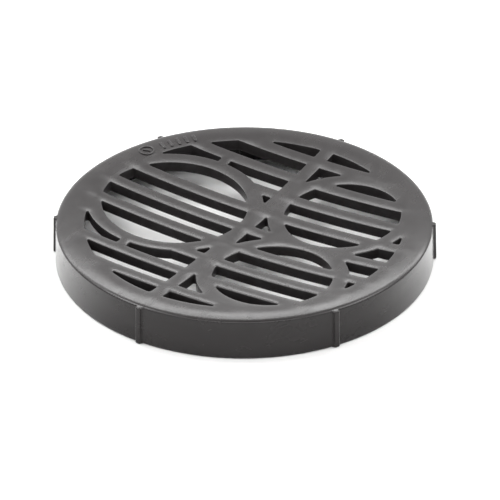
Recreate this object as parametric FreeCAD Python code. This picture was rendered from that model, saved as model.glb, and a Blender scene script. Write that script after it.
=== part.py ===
import FreeCAD, Part
import math
import os

# Push-in floor drain grate, injection moulded in one shot of dark grey plastic.
# A shallow round cap: a flat rim with a dished, slotted centre, a short skirt
# below the rim, and six small locating lugs down the outside of the skirt.
# Each file is one named feature of the moulding, cut along the lines where bar,
# ring, rim and skirt meet, so that neighbours share a face exactly.
#
# Frame: origin at the centre of the skirt's bottom edge, +Z up, +X right along
# the parallel bars, +Y to the back along the spine bar. Millimetres.

V = FreeCAD.Vector
ORIGIN = V(0, 0, 0)
Z_AXIS = V(0, 0, 1)

# ---- cap ----
RIM_R = 75.8             # outside radius at the top face
SKIRT_FOOT_R = 76.45     # outside radius at the bottom edge (mould draft)
TOP = 16.5               # height of the flat rim above the bottom edge
PLATE_T = 4.4            # depth of rim, rings and bars
UNDER = TOP - PLATE_T    # underside of the rim
DISH_R = 69.75           # radius where the flat rim ends and the dish starts
DISH_DEPTH = 3.9         # depth of the dish at the centre
EDGE_R = 0.5             # rounding of the top outside edge

# ---- skirt ----
FOOT_EDGE_R = 0.4        # rounding of the bottom outside edge
SKIRT_IN_TOP = 74.6      # inside radius under the plate
SKIRT_IN_FOOT = 75.2     # inside radius at the bottom edge
SKIRT_ROOT_R = 1.0       # fillet between skirt and underside of the plate

# ---- bars ----
GRID_R = 64.35           # radius inside which the plate is slotted
PITCH = 14.0             # bar to bar
BAR_W = 6.0              # width of every parallel bar (slots are 8 mm)
SPINE_W = 6.0            # width of the bar that crosses them
SPINE_HALF = SPINE_W / 2
REACH = RIM_R            # cutting boxes run out to here, past the slotted area

# ---- rings ----
BIG_X = -33.55           # centre of the large ring, on the centre bar's line
BIG_IN = 29.9            # radius of its opening
BIG_OUT = 36.15          # its outside radius
SMALL_X = 29.95          # centres of the two smaller rings, at +-SMALL_Y
SMALL_Y = 26.65
SMALL_IN = 23.78
SMALL_OUT = 30.25
STUB_START_X = SMALL_X + 10  # inside the small ring, which trims the right stubs
WEB_W = 4.5              # short webs from the large ring to the next bar
WEB_OVERLAP = 2          # a web starts this far inside the ring, which trims it

# ---- lugs ----
LUG_COUNT = 6
LUG_FIRST = 30.0         # degrees from +X
LUG_R_TOP = 77.0         # radius over the lugs at the top
LUG_R_FOOT = 77.6        # radius over the lugs at the bottom edge
LUG_ROOT_R = SKIRT_IN_FOOT + 0.1  # lugs start within the skirt wall
LUG_BASE = 3.0           # width where a lug meets the skirt
LUG_FACE = 2.2           # width of its outer face

# ---- raised marks, angles in degrees from +X ----
MARK_R = 68.5            # radius of the row of marks
MARK_H = 0.3             # how far they stand out of the plate
CLOCK_ANGLE = 158.8
CLOCK_OUT = 3.3          # outside and inside radius of the clock's circle
CLOCK_IN = 2.7
HAND_W = 0.7
HAND_L = 3.4
HAND_ANGLE = CLOCK_ANGLE - 50
DASH_FIRST = 152.2
DASH_STEP = -3.0
DASH_COUNT = 5
DASH_W = 1.1
DASH_L = 3.8             # between the centres of its round ends

# ---- cutting tools, tall enough to pass right through the plate ----
TOOL_Z = -20
TOOL_H = 60

os.makedirs("parts", exist_ok=True)


def save(name, shape):
    """Write the shape's solids as one STEP file."""
    solids = shape.Solids
    if not solids or not all(solid.isValid() for solid in solids):
        raise ValueError(name + " is empty or invalid")
    out = solids[0] if len(solids) == 1 else Part.makeCompound(solids)
    out.exportStep(os.path.join("parts", name + ".step"))


# ---- turned profiles, drawn with (radius, height) points ----
def line(start, end):
    return Part.makeLine(V(start[0], 0, start[1]), V(end[0], 0, end[1]))


def arc(start, middle, end):
    return Part.Arc(*[V(r, 0, z) for r, z in (start, middle, end)]).toShape()


def quarter_arc(start, centre, end):
    diagonal = math.sqrt(0.5)
    middle = [c + (a - c + b - c) * diagonal for a, c, b in zip(start, centre, end)]
    return arc(start, middle, end)


def revolve(edges):
    return Part.Face(Part.Wire(edges)).revolve(ORIGIN, Z_AXIS, 360)


def outer_r(z):
    """Outside radius of the drafted cap at height z."""
    return RIM_R + (SKIRT_FOOT_R - RIM_R) * (TOP - z) / TOP


# ---- cutting tools ----
def prism(x0, x1, y0, y1):
    return Part.makeBox(x1 - x0, y1 - y0, TOOL_H, V(x0, y0, TOOL_Z))


def column(x, y, radius):
    return Part.makeCylinder(radius, TOOL_H, V(x, y, TOOL_Z))


def strip(y, x0, x1):
    """A parallel bar's outline, centred on y."""
    return prism(x0, x1, y - BAR_W / 2, y + BAR_W / 2)


def side_prism(side, x0, x1, near_y, far_y):
    """A box between two distances from the X axis, behind (1) or in front (-1)."""
    return prism(x0, x1, *sorted((side * near_y, side * far_y)))


# ---- plate: flat rim and spherical dish, of the same vertical depth ----
def dish_points(level):
    """Centre, middle and edge of a dish hung from a flat rim at this level."""
    sphere_r = (DISH_R * DISH_R + DISH_DEPTH * DISH_DEPTH) / (2 * DISH_DEPTH)
    mid_r = DISH_R / 2
    mid_z = level - DISH_DEPTH + sphere_r - math.sqrt(sphere_r * sphere_r - mid_r * mid_r)
    return [(0, level - DISH_DEPTH), (mid_r, mid_z), (DISH_R, level)]


def make_plate():
    top_dish = dish_points(TOP)
    under_dish = dish_points(UNDER)
    edge_z = TOP - EDGE_R
    edge_x = outer_r(edge_z)
    flat_end = (edge_x - EDGE_R, TOP)
    side_top = (edge_x, edge_z)
    side_foot = (outer_r(UNDER), UNDER)
    return revolve([
        arc(*top_dish),
        line(top_dish[2], flat_end),
        quarter_arc(flat_end, (edge_x - EDGE_R, edge_z), side_top),
        line(side_top, side_foot),
        line(side_foot, under_dish[2]),
        arc(*reversed(under_dish)),
        line(under_dish[0], top_dish[0]),
    ])


# ---- skirt: thin drafted wall under the rim ----
def make_skirt():
    root_r = SKIRT_IN_TOP - SKIRT_ROOT_R
    root_z = UNDER - SKIRT_ROOT_R
    foot_x = outer_r(FOOT_EDGE_R)
    root_in = (root_r, UNDER)
    root_out = (outer_r(UNDER), UNDER)
    side_foot = (foot_x, FOOT_EDGE_R)
    foot_out = (foot_x - FOOT_EDGE_R, 0)
    foot_in = (SKIRT_IN_FOOT, 0)
    wall_top = (SKIRT_IN_TOP, root_z)
    return revolve([
        line(root_in, root_out),
        line(root_out, side_foot),
        quarter_arc(side_foot, (foot_x - FOOT_EDGE_R, FOOT_EDGE_R), foot_out),
        line(foot_out, foot_in),
        line(foot_in, wall_top),
        quarter_arc(wall_top, (root_r, root_z), root_in),
    ])


# ---- locating lugs: drafted, full height of the cap ----
def lug_wire(z, face_r):
    half_outline = [(LUG_ROOT_R, LUG_BASE / 2), (outer_r(z), LUG_BASE / 2),
                    (face_r, LUG_FACE / 2)]
    points = [V(x, -y, z) for x, y in half_outline]
    points += [V(x, y, z) for x, y in reversed(half_outline)]
    return Part.makePolygon(points + points[:1])


def make_lugs(cap):
    lug = Part.makeLoft([lug_wire(0, LUG_R_FOOT), lug_wire(TOP, LUG_R_TOP)], True, True)
    # The largest remainder is the part outside the cap.
    lug = max(lug.cut(cap).Solids, key=lambda solid: solid.Volume)
    lugs = []
    for i in range(LUG_COUNT):
        turned = lug.copy()
        turned.rotate(ORIGIN, Z_AXIS, LUG_FIRST + i * 360.0 / LUG_COUNT)
        lugs.append(turned)
    return Part.makeCompound(lugs)


# ---- raised mould marks: a plain date clock and a row of dashes ----
def mark_centre(angle):
    turn = math.radians(angle)
    return MARK_R * math.cos(turn), MARK_R * math.sin(turn)


def place(shape, angle, centre):
    shape.rotate(ORIGIN, Z_AXIS, angle)
    shape.translate(V(*centre, 0))
    return shape


def make_dash(angle):
    end_x = DASH_L / 2
    dash = prism(-end_x, end_x, -DASH_W / 2, DASH_W / 2)
    for x in (end_x, -end_x):
        dash = dash.fuse(column(x, 0, DASH_W / 2))
    return place(dash, angle, mark_centre(angle)).removeSplitter()


def make_marks(plate):
    centre = mark_centre(CLOCK_ANGLE)
    circle = column(*centre, CLOCK_OUT).cut(column(*centre, CLOCK_IN))
    hand = prism(-HAND_W / 2, HAND_W / 2, -HAND_L / 2, HAND_L / 2)
    outlines = [circle, place(hand, HAND_ANGLE, centre)]
    outlines += [make_dash(DASH_FIRST + i * DASH_STEP) for i in range(DASH_COUNT)]

    # Each mark is the part of its outline between the plate and a raised copy.
    raised = plate.copy()
    raised.translate(V(0, 0, MARK_H))
    marks = [outline.common(raised).cut(plate) for outline in outlines]
    return Part.makeCompound([solid for mark in marks for solid in mark.Solids])


# ---- slotted field ----
def small_hole(side):
    return column(SMALL_X, side * SMALL_Y, SMALL_IN)


def small_outer(side):
    return column(SMALL_X, side * SMALL_Y, SMALL_OUT)


def save_spine_and_centre(field):
    save("spine_bar", field.common(prism(-SPINE_HALF, SPINE_HALF, -REACH, REACH)))
    # The centre bar lies right of the spine, between the two smaller rings.
    centre = field.common(strip(0, SPINE_HALF, REACH))
    save("centre_bar", centre.cut(small_hole(1)).cut(small_hole(-1)))


def save_large_ring(field, hole, outer):
    left_of_spine = prism(-REACH, -SPINE_HALF, -REACH, REACH)
    save("large_ring", field.common(outer).cut(hole).common(left_of_spine))
    for i, row in enumerate((1, 0, -1), 1):
        bar = field.common(hole).common(strip(row * PITCH, -REACH, REACH))
        save(f"large_ring_bar_{i}", bar)


def save_small_ring(field, side, name):
    zone = side_prism(side, SPINE_HALF, REACH, BAR_W / 2, REACH)
    ring = field.common(small_outer(side)).cut(small_hole(side)).common(zone)
    save(name + "_ring", ring)
    for row in (1, 2, 3):
        bar = field.common(small_hole(side)).common(strip(side * row * PITCH, 0, REACH))
        save(f"{name}_ring_bar_{row}", bar)


def save_outside_bars(field, side, name, big_outer):
    """The bars and the web outside the rings, on one side of the centre bar."""
    def bar(row, x0, x1):
        return field.common(strip(side * row * PITCH, x0, x1))

    ring = small_outer(side)
    save(name + "_outer_bar_left", bar(4, -REACH, -SPINE_HALF))
    save(name + "_outer_bar_right", bar(4, SPINE_HALF, REACH).cut(ring))
    save(name + "_inner_bar_left", bar(3, -REACH, -SPINE_HALF))
    save(name + "_stub_bar_centre", bar(2, BIG_X, -SPINE_HALF).cut(big_outer))
    save(name + "_stub_bar_right", bar(1, STUB_START_X, REACH).cut(ring))
    web = side_prism(side, BIG_X - WEB_W / 2, BIG_X + WEB_W / 2,
                     BIG_OUT - WEB_OVERLAP, 3 * PITCH - BAR_W / 2)
    save(name + "_web", field.common(web).cut(big_outer))


plate = make_plate()
grid_disc = column(0, 0, GRID_R)
save("rim_plate", plate.cut(grid_disc))

field = plate.common(grid_disc)
big_hole = column(BIG_X, 0, BIG_IN)
big_outer = column(BIG_X, 0, BIG_OUT)
save_spine_and_centre(field)
save_large_ring(field, big_hole, big_outer)
for side, name in ((1, "back"), (-1, "front")):
    save_small_ring(field, side, name)
    save_outside_bars(field, side, name, big_outer)

skirt = make_skirt()
save("skirt_wall", skirt)
save("locating_lugs", make_lugs(plate.fuse(skirt)))
save("mould_mark", make_marks(plate))
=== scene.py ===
"""Round moulded plastic grate: a slotted, slightly dished plate on a tapering skirt.

The grate lies flat with its axis on Z and its foot at z = 0. The spine runs along Y through the
axis, one large ring lies at -X and two smaller rings at +X, at the back (+Y) and the front (-Y).
Lengths are millimetres until a mesh is written; the stage, camera and lights are in metres.
"""
import math

import bmesh
import bpy
import numpy as np
from mathutils import Matrix, Vector, noise
from mathutils.geometry import delaunay_2d_cdt
from mathutils.kdtree import KDTree


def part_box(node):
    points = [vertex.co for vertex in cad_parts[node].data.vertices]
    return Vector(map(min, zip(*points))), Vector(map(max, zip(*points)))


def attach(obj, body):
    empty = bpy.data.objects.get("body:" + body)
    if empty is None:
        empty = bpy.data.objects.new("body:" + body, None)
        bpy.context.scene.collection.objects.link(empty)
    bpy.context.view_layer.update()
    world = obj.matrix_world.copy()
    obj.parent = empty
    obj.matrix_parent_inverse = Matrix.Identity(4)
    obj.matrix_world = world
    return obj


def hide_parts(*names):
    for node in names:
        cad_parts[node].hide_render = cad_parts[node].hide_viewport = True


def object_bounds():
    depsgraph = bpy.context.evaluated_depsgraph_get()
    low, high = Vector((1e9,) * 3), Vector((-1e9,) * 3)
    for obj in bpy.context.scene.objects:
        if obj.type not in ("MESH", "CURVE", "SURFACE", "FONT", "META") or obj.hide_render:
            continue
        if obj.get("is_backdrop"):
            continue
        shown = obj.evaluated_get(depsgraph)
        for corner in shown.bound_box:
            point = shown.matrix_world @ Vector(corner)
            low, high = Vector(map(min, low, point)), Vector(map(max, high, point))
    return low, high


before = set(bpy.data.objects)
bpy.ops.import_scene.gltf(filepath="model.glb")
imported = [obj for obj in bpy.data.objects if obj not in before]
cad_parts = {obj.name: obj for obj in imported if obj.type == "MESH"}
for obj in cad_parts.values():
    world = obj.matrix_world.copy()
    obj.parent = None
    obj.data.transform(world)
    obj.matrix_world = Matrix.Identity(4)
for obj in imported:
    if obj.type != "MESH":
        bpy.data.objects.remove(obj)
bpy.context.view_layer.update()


# ---------------------------------------------------------------- sizes, read from the CAD nodes
def cloud(node):
    """Vertices of a CAD node."""
    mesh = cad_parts[node].data
    co = np.zeros(len(mesh.vertices) * 3)
    mesh.vertices.foreach_get("co", co)
    return co.reshape(-1, 3) * 1000.0


def span(node):
    """Lowest and highest corner of a CAD node's box."""
    lo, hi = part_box(node)
    return np.array(lo) * 1000.0, np.array(hi) * 1000.0


FOOT_ROUND = 0.4    # rounding of the skirt's outer foot

# rim and skirt
rim_cad = cloud("rim_plate")
skirt_cad = cloud("skirt_wall")
skirt_radii = np.hypot(skirt_cad[:, 0], skirt_cad[:, 1])
TOP = float(rim_cad[:, 2].max())
UNDER = float(skirt_cad[:, 2].max())        # underside of the rim
PLATE_T = TOP - UNDER
FOOT_R = float(skirt_radii.max())
OUTER_UNDER = float(skirt_radii[skirt_cad[:, 2] > UNDER - 0.01].max())
RIM_R = OUTER_UNDER - (FOOT_R - OUTER_UNDER) * PLATE_T / (UNDER - FOOT_ROUND)
GRID_R = float(np.hypot(rim_cad[:, 0], rim_cad[:, 1]).min())
SKIRT_IN_FOOT = float(skirt_radii[skirt_cad[:, 2] < 0.01].min())
ROOT_IN = float(skirt_radii.min())

# spine, bars and large ring
lo, hi = span("spine_bar")
HALF_SPINE = float(hi[0] - lo[0]) / 2
lo, hi = span("large_ring_bar_2")
BAR_W = float(hi[1] - lo[1])
HALF_BAR = BAR_W / 2
LARGE_IN = float(hi[0] - lo[0]) / 2
LARGE_X = float(hi[0] + lo[0]) / 2
PITCH = float(span("large_ring_bar_1")[0][1] + BAR_W / 2)
LARGE_OUT = float(span("large_ring")[1][1])

# smaller rings, at y = +SMALL_Y and -SMALL_Y
lo, hi = span("back_ring_bar_2")
SMALL_IN = float(hi[0] - lo[0]) / 2
SMALL_X = float(hi[0] + lo[0]) / 2
bar_cad = cloud("back_ring_bar_2")
bar_end = bar_cad[bar_cad[:, 1] > hi[1] - 0.01]
SMALL_Y = float(hi[1] - math.sqrt(SMALL_IN ** 2 - (bar_end[:, 0].max() - SMALL_X) ** 2))
SMALL_OUT = float(span("back_ring")[1][1]) - SMALL_Y
lo, hi = span("back_web")
WEB_W = float(hi[0] - lo[0])

# dish of the plate: a spherical cap
DISH_DEPTH = 3.9
DISH_R = 69.75
SPHERE_R = (DISH_R ** 2 + DISH_DEPTH ** 2) / (2 * DISH_DEPTH)

# ---------------------------------------------------------------- finish of the moulding
YAW = math.radians(32.4)        # the camera's turn about the grate
PLANE = TOP + 0.1   # the level that heights on top are counted from
CROWN = -0.20       # height of the rim's highest line from PLANE
CORNER = 0.55       # rounding of slot corners, in plan
EDGE = 0.42         # rounding of slot edges at the top
EDGE_LOW = 0.15     # and at the bottom
OUT_EDGE = 0.5      # rounding of the outside edge
DRAFT = 0.06        # slots are wider by this much at the bottom, each side
STEP = 0.6          # spacing of points along slot edges
SWELL = ((3.0, 0.20), (5.0, 0.13))      # width beside a slot, fall of the surface over it
EDGE_OUT_R = RIM_R + (FOOT_R - RIM_R) * 0.9 / TOP       # the plate's outline


# ---------------------------------------------------------------- curves that bound the slots
class Line:
    """A line across an axis (0 is x, 1 is y). The slot is on its positive side if side is 1."""

    def __init__(self, axis, at, side):
        self.axis, self.at, self.side = axis, at, side

    def depth(self, p, inset):
        """How far p is inside the slot, less inset."""
        return self.side * (p[self.axis] - self.at) - inset

    def inward(self, p):
        """Direction into the slot."""
        return (0.0, float(self.side)) if self.axis == 1 else (float(self.side), 0.0)


class Arc:
    """A circle. The slot is within it if side is 1, outside it if side is -1."""

    def __init__(self, x, y, radius, side):
        self.x, self.y, self.radius, self.side = x, y, radius, side

    def depth(self, p, inset):
        return self.side * (self.radius - math.hypot(p[0] - self.x, p[1] - self.y)) - inset

    def inward(self, p):
        d = math.hypot(p[0] - self.x, p[1] - self.y)
        return (-self.side * (p[0] - self.x) / d, -self.side * (p[1] - self.y) / d)


def meet(first, second, guess, inset):
    """Point at depth inset from both curves, by Newton's method."""
    p = [float(guess[0]), float(guess[1])]
    for _ in range(60):
        fa, fb = first.depth(p, inset), second.depth(p, inset)
        na, nb = first.inward(p), second.inward(p)
        det = na[0] * nb[1] - na[1] * nb[0]
        if abs(det) < 1e-9:
            break
        dx = (-fa * nb[1] + fb * na[1]) / det
        dy = (-fb * na[0] + fa * nb[0]) / det
        move = math.hypot(dx, dy)
        scale = min(1.0, 1.5 / move) if move > 0 else 1.0
        p[0] += dx * scale
        p[1] += dy * scale
        if move < 1e-10:
            break
    return p


def turn_between(start, end):
    """The shorter turn from one angle to another."""
    return (end - start + math.pi) % (2 * math.pi) - math.pi


def slot_loop(curves, guesses):
    """Points round one slot and the direction into the solid at each.

    guesses[i] is near where curves[i] ends.
    """
    n = len(curves)
    corners = [meet(curves[i], curves[(i + 1) % n], guesses[i], CORNER) for i in range(n)]
    pts, solid = [], []
    for i, curve in enumerate(curves):
        a, b = corners[i - 1], corners[i]
        na, nb = curve.inward(a), curve.inward(b)
        if isinstance(curve, Arc):
            start = math.atan2(a[1] - curve.y, a[0] - curve.x)
            sweep = turn_between(start, math.atan2(b[1] - curve.y, b[0] - curve.x))
            count = max(2, int(math.ceil(abs(sweep) * curve.radius / STEP)))
            for j in range(count + 1):
                t = start + sweep * j / count
                pts.append((curve.x + curve.radius * math.cos(t),
                            curve.y + curve.radius * math.sin(t)))
                solid.append((curve.side * math.cos(t), curve.side * math.sin(t)))
        else:
            length = math.hypot(b[0] - a[0], b[1] - a[1])
            count = max(2, int(math.ceil(length / STEP)))
            for j in range(count + 1):
                q = j / count
                pts.append((a[0] + (b[0] - a[0]) * q - na[0] * CORNER,
                            a[1] + (b[1] - a[1]) * q - na[1] * CORNER))
                solid.append((-na[0], -na[1]))
        # round the corner to the next curve
        after = curves[(i + 1) % n].inward(b)
        start = math.atan2(-nb[1], -nb[0])
        sweep = turn_between(start, math.atan2(-after[1], -after[0]))
        count = max(2, int(math.ceil(abs(sweep) / math.radians(20))))
        for j in range(1, count):
            t = start + sweep * j / count
            pts.append((b[0] + CORNER * math.cos(t), b[1] + CORNER * math.sin(t)))
            solid.append((math.cos(t), math.sin(t)))
    pts, solid = np.array(pts), np.array(solid)
    # drop doubled points
    keep = [0]
    for i in range(1, len(pts)):
        if np.hypot(*(pts[i] - pts[keep[-1]])) > 0.02:
            keep.append(i)
    if np.hypot(*(pts[keep[-1]] - pts[0])) < 0.02:
        keep.pop()
    return pts[keep], solid[keep]


# ---------------------------------------------------------------- slots of the back half
RIM = Arc(0.0, 0.0, GRID_R, 1)
LARGE_HOLE = Arc(LARGE_X, 0.0, LARGE_IN, 1)
LARGE_BAND = Arc(LARGE_X, 0.0, LARGE_OUT, -1)
SMALL_HOLE = Arc(SMALL_X, SMALL_Y, SMALL_IN, 1)
SMALL_BAND = Arc(SMALL_X, SMALL_Y, SMALL_OUT, -1)
SPINE_LEFT = Line(0, -HALF_SPINE, -1)
SPINE_RIGHT = Line(0, HALF_SPINE, 1)


def rim_x(y):
    return math.sqrt(GRID_R ** 2 - y * y)


def large_dx(y, r):
    return math.sqrt(r * r - y * y)


def small_dx(y, r):
    return math.sqrt(max(r * r - (y - SMALL_Y) ** 2, 0.0))


# The bars lie along X at y = k * PITCH; "top" and "bottom" are their edges in plan.
def bar_top(k):
    return k * PITCH + HALF_BAR


def bar_bottom(k):
    return k * PITCH - HALF_BAR


def above(k):
    return Line(1, bar_top(k), 1)


def below(k):
    return Line(1, bar_bottom(k), -1)


def over(k, x):
    """A guess for a corner just above bar k."""
    return (x, bar_top(k) + .5)


def under(k, x):
    """A guess for a corner just below bar k."""
    return (x, bar_bottom(k) - .5)


def ring_row(hole, half_width, k):
    """Slot in a ring's opening, between bars k and k + 1."""
    low, high = half_width(bar_top(k)), half_width(bar_bottom(k + 1))
    return ([above(k), hole, below(k + 1), hole],
            [over(k, hole.x + low - .6), under(k + 1, hole.x + high - .6),
             under(k + 1, hole.x - high + .6), over(k, hole.x - low + .6)])


def ring_end(hole, half_width, k, side):
    """Last slot in a ring's opening, above bar k (side 1) or below it (side -1)."""
    curve, guess, edge = (above, over, bar_top) if side > 0 else (below, under, bar_bottom)
    width = half_width(edge(k))
    ends = [guess(k, hole.x + width - 1), guess(k, hole.x - width + 1)]
    return [curve(k), hole], ends[::side]


def ring_slots():
    def large(y):
        return large_dx(y, LARGE_IN)

    def small(y):
        return small_dx(y, SMALL_IN)

    return [ring_end(LARGE_HOLE, large, 1, 1), ring_row(LARGE_HOLE, large, 0),
            ring_end(SMALL_HOLE, small, 1, -1), ring_row(SMALL_HOLE, small, 1),
            ring_row(SMALL_HOLE, small, 2), ring_end(SMALL_HOLE, small, 3, 1)]


def grid_slots():
    """Slots around the rings. The numbers only bring the guesses near the corners."""
    left, right = -HALF_SPINE - .5, HALF_SPINE + .5
    web_left, web_right = LARGE_X - WEB_W / 2, LARGE_X + WEB_W / 2
    large_tip = meet(LARGE_BAND, RIM, (-59.0, 25.6), 0.0)
    small_tip = meet(SMALL_BAND, RIM, (59.5, 24.0), 0.0)
    large_at_spine = math.sqrt(LARGE_OUT ** 2 - (HALF_SPINE + LARGE_X) ** 2)
    small_at_spine = math.sqrt(SMALL_OUT ** 2 - (SMALL_X - HALF_SPINE) ** 2)
    return [
        # beyond bar 4, left and right of the spine
        ([above(4), SPINE_LEFT, RIM],
         [over(4, left), (left, rim_x(HALF_SPINE) - .5), over(4, -rim_x(bar_top(4)) + 1.5)]),
        ([above(4), RIM, SPINE_RIGHT],
         [over(4, rim_x(bar_top(4)) - 1.5), (right, rim_x(HALF_SPINE) - .5), over(4, right)]),
        # between bars 3 and 4, and right of the spine down to the smaller ring
        ([above(3), SPINE_LEFT, below(4), RIM],
         [over(3, left), under(4, left), under(4, -rim_x(bar_bottom(4)) + .8),
          over(3, -rim_x(bar_top(3)) + .8)]),
        ([SMALL_BAND, below(4), SPINE_RIGHT],
         [under(4, SMALL_X - small_dx(bar_bottom(4), SMALL_OUT) - 1), under(4, right),
          (right, SMALL_Y + small_at_spine + 2)]),
        # behind the large ring, left and right of the web
        ([Line(0, web_left, -1), below(3), RIM, LARGE_BAND],
         [under(3, web_left - .5), under(3, -rim_x(bar_bottom(3)) + .8),
          (large_tip[0] + .3, large_tip[1] + 1.5), (web_left - .5, LARGE_OUT + .4)]),
        ([LARGE_BAND, above(2), SPINE_LEFT, below(3), Line(0, web_right, 1)],
         [over(2, LARGE_X + large_dx(bar_top(2), LARGE_OUT) + .6), over(2, left),
          under(3, left), under(3, web_right + .5), (web_right + .5, LARGE_OUT + .4)]),
        # between the large ring and the spine
        ([LARGE_BAND, SPINE_LEFT, below(2)],
         [(-HALF_SPINE - .4, large_at_spine + 1.2), under(2, left),
          under(2, LARGE_X + large_dx(bar_bottom(2), LARGE_OUT) + 1)]),
        # between the spine, the centre bar and the smaller ring
        ([above(0), SMALL_BAND, SPINE_RIGHT],
         [over(0, SMALL_X - small_dx(bar_top(0), SMALL_OUT) - 1),
          (right, SMALL_Y - small_at_spine - 1.5), over(0, right)]),
        # between the smaller ring and the rim, below and above bar 1
        ([above(0), RIM, below(1), SMALL_BAND],
         [over(0, rim_x(bar_top(0)) - .6), under(1, rim_x(bar_bottom(1)) - .6),
          under(1, SMALL_X + small_dx(bar_bottom(1), SMALL_OUT) + .8),
          over(0, SMALL_X + small_dx(bar_top(0), SMALL_OUT) + 1)]),
        ([above(1), RIM, SMALL_BAND],
         [over(1, rim_x(bar_top(1)) - .7), (small_tip[0] - .2, small_tip[1] - 1.5),
          over(1, SMALL_X + small_dx(bar_top(1), SMALL_OUT) + .8)]),
    ]


def anticlockwise(outline, solid):
    x, y = outline[:, 0], outline[:, 1]
    if float(np.sum(x * np.roll(y, -1) - np.roll(x, -1) * y)) < 0:
        return outline[::-1], solid[::-1]
    return outline, solid


# every slot and its mirror image at the front
loops = []
for curves, guesses in ring_slots() + grid_slots():
    outline, solid = slot_loop(curves, guesses)
    loops.append(anticlockwise(outline, solid))
    loops.append(anticlockwise(outline[::-1] * (1, -1), solid[::-1] * (1, -1)))

# ---------------------------------------------------------------- distance to the slots
edge_points = np.concatenate([p for p, _ in loops])
edge_solid = np.concatenate([q for _, q in loops])
edge_next = np.concatenate([np.roll(p, -1, 0) for p, _ in loops])
edge_prev = np.concatenate([np.roll(p, 1, 0) for p, _ in loops])
tree = KDTree(len(edge_points))
for i, (x, y) in enumerate(edge_points):
    tree.insert((x, y, 0.0), i)
tree.balance()


def nearest_edge(pts):
    return np.array([tree.find((x, y, 0.0))[1] for x, y in pts])


def segment_distance(p, a, b):
    d = b - a
    t = np.clip(((p - a) * d).sum(1) / np.maximum((d * d).sum(1), 1e-12), 0, 1)
    return np.hypot(*(p - a - d * t[:, None]).T)


def slot_distance(pts):
    near = nearest_edge(pts)
    return np.minimum(segment_distance(pts, edge_points[near], edge_next[near]),
                      segment_distance(pts, edge_points[near], edge_prev[near]))


def inside(poly, pts):
    """Which points are inside a polygon."""
    out = np.zeros(len(pts), bool)
    lo, hi = poly.min(0), poly.max(0)
    pick = np.where((pts[:, 0] > lo[0]) & (pts[:, 0] < hi[0])
                    & (pts[:, 1] > lo[1]) & (pts[:, 1] < hi[1]))[0]
    if not len(pick):
        return out
    x, y = pts[pick, 0][:, None], pts[pick, 1][:, None]
    ax, ay = poly[:, 0][None], poly[:, 1][None]
    bx, by = np.roll(poly[:, 0], -1)[None], np.roll(poly[:, 1], -1)[None]
    rise = np.where(by == ay, 1e-12, by - ay)
    crossed = ((ay > y) != (by > y)) & (x < (bx - ax) * (y - ay) / rise + ax)
    out[pick] = crossed.sum(1) % 2 == 1
    return out


def in_slot(pts):
    hole = np.zeros(len(pts), bool)
    for outline, _ in loops:
        hole |= inside(outline, pts)
    return hole


# ---------------------------------------------------------------- heights of top and underside
# radius, slope of the top there; within DISH_ONLY_R the slope is the dish's, a little steeper
DISH_ONLY_R = 58.0
DISH_STEEPER = 1.08
CREST_R = 70.3      # where the rim is highest
RIM_SLOPES = np.array([
    (58.0, 0.100), (62.0, 0.104), (64.5, 0.106), (67.3, 0.100), (69.0, 0.045), (70.3, 0.000),
    (71.5, -0.030), (72.8, -0.050), (74.0, -0.070), (75.2, -0.105), (76.0, -0.180),
    (78.0, -0.180)])


def top_profile():
    """Radii and heights of the top from its crest: the smoothed slopes, summed."""
    radii = np.linspace(0, 78, 4000)
    dish = (DISH_STEEPER * radii
            / np.sqrt(SPHERE_R ** 2 - np.minimum(radii, DISH_ONLY_R) ** 2))
    rim = np.interp(radii, RIM_SLOPES[:, 0], RIM_SLOPES[:, 1])
    slopes = np.where(radii < DISH_ONLY_R, dish, rim)
    slopes = np.convolve(np.pad(slopes, 30, mode="edge"), np.ones(61) / 61, mode="valid")
    steps = (slopes[1:] + slopes[:-1]) / 2 * np.diff(radii)
    heights = np.concatenate([[0], np.cumsum(steps)])
    return radii, heights - np.interp(CREST_R, radii, heights)


PROFILE_R, PROFILE_Z = top_profile()


def make_mounds():
    """Low swellings where bars and rings meet: x, y, reach along X, reach along Y, height."""
    large_mid = (LARGE_IN + LARGE_OUT) / 2
    small_mid = (SMALL_IN + SMALL_OUT) / 2
    mounds = []
    for k in (1, 0, -1):
        dx = large_dx(k * PITCH, large_mid)
        mounds += [(LARGE_X - dx - 1.0, k * PITCH, 3.0, 1.6, 0.17),
                   (LARGE_X + dx, k * PITCH, 2.2, 1.7, 0.10)]
    for s in (-1, 1):
        for k in (1, 2, 3):
            dx = small_dx(k * PITCH, small_mid)
            mounds += [(SMALL_X + dx * t, s * k * PITCH, 2.4, 1.6, 0.12) for t in (-1, 1)]
        mounds += [(0, s * k * PITCH, 2.4, 1.5, height)
                   for k, height in ((1, 0.15), (2, 0.10), (3, 0.15), (4, 0.12))]
        y3, y4 = 3 * PITCH, 4 * PITCH
        mounds += [
            (-rim_x(y3) - 1.5, s * y3, 3.0, 1.8, 0.14),
            (-rim_x(y4) - 1.5, s * y4, 3.0, 1.8, 0.14),
            (rim_x(y4) + 1.5, s * y4, 3.0, 1.8, 0.12),
            (rim_x(PITCH) + 1.5, s * PITCH, 2.6, 1.7, 0.12),
            (LARGE_X, s * (LARGE_OUT - 1.5), 1.8, 1.4, 0.08),
            (0, s * (GRID_R + 1.5), 1.8, 3.0, 0.12),
            (24.0, s * 56.6, 4.0, 1.3, 0.14),
            (-61.3, s * 25.5, 2.5, 1.5, 0.14),
            (61.0, s * 25.0, 2.2, 1.8, 0.12)]
    return mounds + [(rim_x(0) + 1.5, 0, 2.6, 1.7, 0.12), (-1.0, 2.0, 3.2, 1.8, 0.12),
                     (18.0, -1.5, 3.0, 1.6, 0.10)]


MOUNDS = make_mounds()
WAVES = ((0.036, 11.0, 3.1), (0.015, 4.5, 7.7))     # unevenness: height, size, seed


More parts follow.
